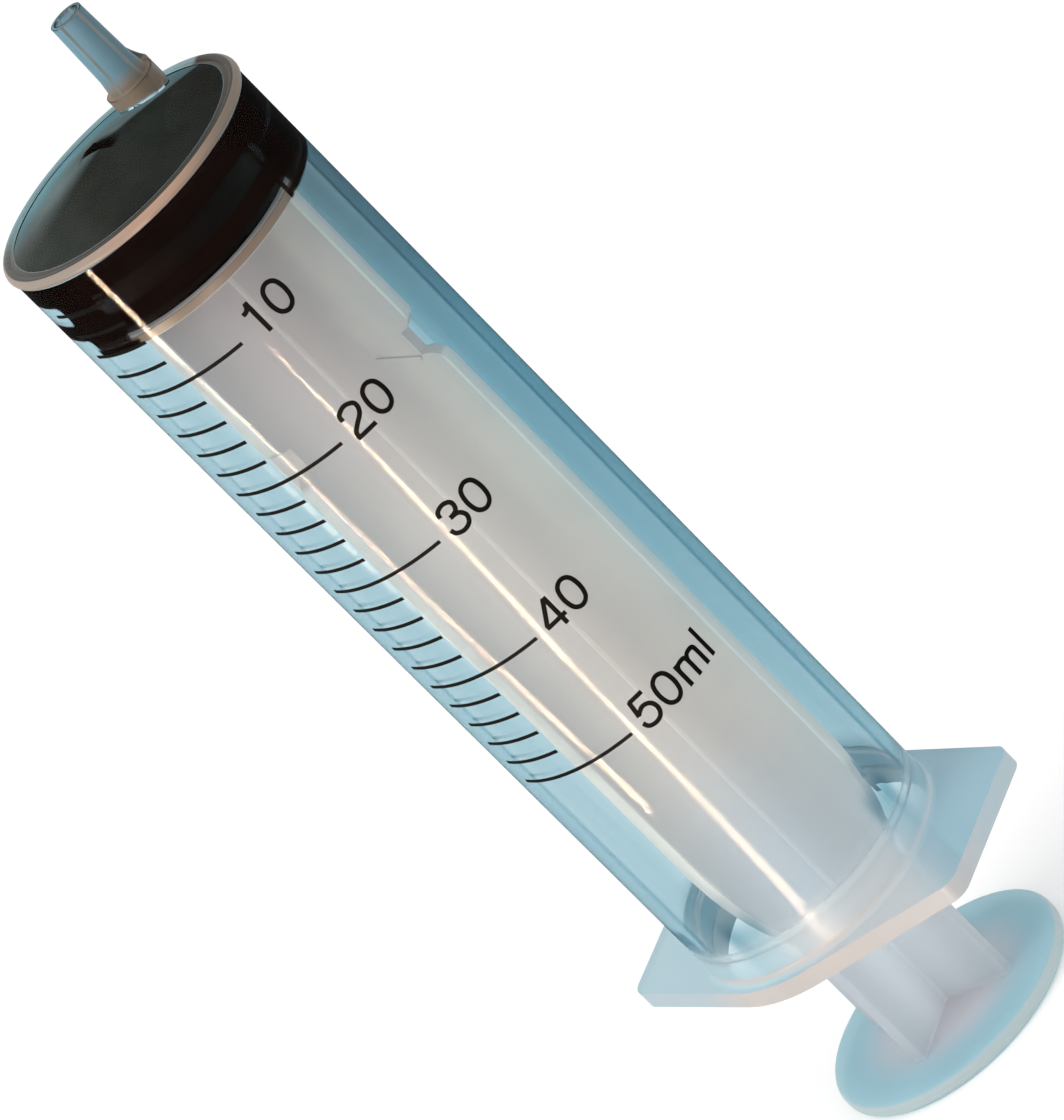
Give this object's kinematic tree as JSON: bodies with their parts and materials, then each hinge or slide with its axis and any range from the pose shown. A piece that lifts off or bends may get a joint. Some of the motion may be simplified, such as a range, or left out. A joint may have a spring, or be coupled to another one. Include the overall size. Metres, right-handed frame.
{
  "type": "syringe",
  "caption": "Large disposable syringe with a clear graduated barrel, off-centre slip nozzle, winged finger flange, black stopper and cross-ribbed plunger rod with a round thumb plate.",
  "frame": {"origin": "the middle of the thumb plate's rear face, on the barrel's axis, with the plunger fully pressed", "axes": "+Z along the barrel's axis, towards the nozzle; +X along the finger flange's long axis; the nozzle is off-centre towards +Y"},
  "size_m": [0.0476, 0.0338, 0.1476],
  "materials": {
    "barrel": "glossy, clear",
    "stopper": "smooth, lubricated",
    "plunger_rod": "smooth, milky",
    "ink": "printed ink"
  },
  "bodies": {
    "barrel": {"barrel": "barrel", "graduation": "ink"},
    "stopper": {"stopper": "stopper"},
    "plunger_rod": {"plunger_rod": "plunger_rod"}
  },
  "joints": [
    {"name": "plunger_slide", "type": "slide", "parent": "barrel", "child": "stopper", "axis": [0, 0, -1], "range_m": [0, 0.095]},
    {"name": "rod_spin", "type": "hinge", "parent": "stopper", "child": "plunger_rod", "pos_m": [0, 0, 0.124], "axis": [0, 0, 1], "continuous": true}
  ]
}
